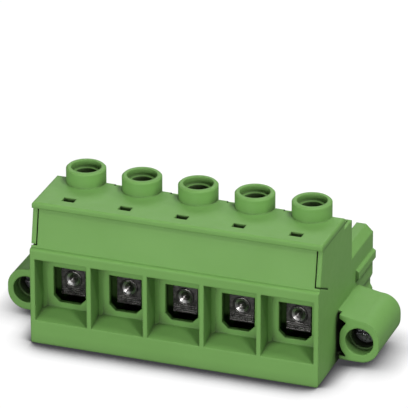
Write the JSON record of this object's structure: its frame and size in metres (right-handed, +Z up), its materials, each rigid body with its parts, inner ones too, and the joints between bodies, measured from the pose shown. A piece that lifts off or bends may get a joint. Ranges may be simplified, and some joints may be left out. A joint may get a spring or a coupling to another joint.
{
  "type": "pluggable terminal block",
  "caption": "Pluggable screw terminal block in green plastic, with raised screw collars, funnel wire entries, lifting clamp sleeves and a captive screw in a barrel flange at each end.",
  "frame": {"origin": "middle of the footprint of the whole block, on the surface that it stands on", "axes": "+X along the row of poles, +Y from the wire entries towards the mating face, +Z up out of the screw collars"},
  "size_m": [0.0672, 0.0294, 0.0284],
  "materials": {
    "housing_plastic": "fine satin",
    "sleeve_steel": "dark zinc",
    "screw_steel": "zinc plated",
    "contact_metal": "tinned",
    "spring_metal": "tinned"
  },
  "bodies": {
    "housing": {"housing_body": "housing_plastic", "lid": "housing_plastic", "contact_bar_1": "contact_metal", "spring_socket_1": "spring_metal", "contact_bar_2": "contact_metal", "spring_socket_2": "spring_metal", "contact_bar_3": "contact_metal", "spring_socket_3": "spring_metal", "contact_bar_4": "contact_metal", "spring_socket_4": "spring_metal", "contact_bar_5": "contact_metal", "spring_socket_5": "spring_metal"},
    "clamp_sleeve_1": {"clamp_sleeve_1": "sleeve_steel"},
    "clamp_screw_1": {"clamp_screw_1": "screw_steel"},
    "clamp_sleeve_2": {"clamp_sleeve_2": "sleeve_steel"},
    "clamp_screw_2": {"clamp_screw_2": "screw_steel"},
    "clamp_sleeve_3": {"clamp_sleeve_3": "sleeve_steel"},
    "clamp_screw_3": {"clamp_screw_3": "screw_steel"},
    "clamp_sleeve_4": {"clamp_sleeve_4": "sleeve_steel"},
    "clamp_screw_4": {"clamp_screw_4": "screw_steel"},
    "clamp_sleeve_5": {"clamp_sleeve_5": "sleeve_steel"},
    "clamp_screw_5": {"clamp_screw_5": "screw_steel"},
    "flange_screw_left": {"flange_screw_left": "screw_steel"},
    "flange_screw_right": {"flange_screw_right": "screw_steel"}
  },
  "joints": [
    {"name": "clamp_screw_1_turn", "type": "hinge", "parent": "housing", "child": "clamp_screw_1", "pos_m": [-0.02032, -0.002, 0.0223], "axis": [0, 0, 1], "range_deg": [0, 2880.72]},
    {"name": "clamp_sleeve_1_drop", "type": "slide", "parent": "housing", "child": "clamp_sleeve_1", "axis": [0, 0, -1], "range_m": [0, 0.0056]},
    {"name": "clamp_screw_2_turn", "type": "hinge", "parent": "housing", "child": "clamp_screw_2", "pos_m": [-0.01016, -0.002, 0.0223], "axis": [0, 0, 1], "range_deg": [0, 2880.72]},
    {"name": "clamp_sleeve_2_drop", "type": "slide", "parent": "housing", "child": "clamp_sleeve_2", "axis": [0, 0, -1], "range_m": [0, 0.0056]},
    {"name": "clamp_screw_3_turn", "type": "hinge", "parent": "housing", "child": "clamp_screw_3", "pos_m": [0, -0.002, 0.0223], "axis": [0, 0, 1], "range_deg": [0, 2880.72]},
    {"name": "clamp_sleeve_3_drop", "type": "slide", "parent": "housing", "child": "clamp_sleeve_3", "axis": [0, 0, -1], "range_m": [0, 0.0056]},
    {"name": "clamp_screw_4_turn", "type": "hinge", "parent": "housing", "child": "clamp_screw_4", "pos_m": [0.01016, -0.002, 0.0223], "axis": [0, 0, 1], "range_deg": [0, 2880.72]},
    {"name": "clamp_sleeve_4_drop", "type": "slide", "parent": "housing", "child": "clamp_sleeve_4", "axis": [0, 0, -1], "range_m": [0, 0.0056]},
    {"name": "clamp_screw_5_turn", "type": "hinge", "parent": "housing", "child": "clamp_screw_5", "pos_m": [0.02032, -0.002, 0.0223], "axis": [0, 0, 1], "range_deg": [0, 2880.72]},
    {"name": "clamp_sleeve_5_drop", "type": "slide", "parent": "housing", "child": "clamp_sleeve_5", "axis": [0, 0, -1], "range_m": [0, 0.0056]},
    {"name": "flange_screw_left_turn", "type": "hinge", "parent": "housing", "child": "flange_screw_left", "pos_m": [-0.03012, -0.0018, 0.0051], "axis": [0, 1, 0], "continuous": true},
    {"name": "flange_screw_right_turn", "type": "hinge", "parent": "housing", "child": "flange_screw_right", "pos_m": [0.03012, -0.0018, 0.0051], "axis": [0, 1, 0], "continuous": true}
  ],
  "couplings": [
    {"joint": "clamp_screw_1_turn", "follows": "clamp_sleeve_1_drop", "rad_per_m": 8976},
    {"joint": "clamp_screw_2_turn", "follows": "clamp_sleeve_2_drop", "rad_per_m": 8976},
    {"joint": "clamp_screw_3_turn", "follows": "clamp_sleeve_3_drop", "rad_per_m": 8976},
    {"joint": "clamp_screw_4_turn", "follows": "clamp_sleeve_4_drop", "rad_per_m": 8976},
    {"joint": "clamp_screw_5_turn", "follows": "clamp_sleeve_5_drop", "rad_per_m": 8976}
  ]
}
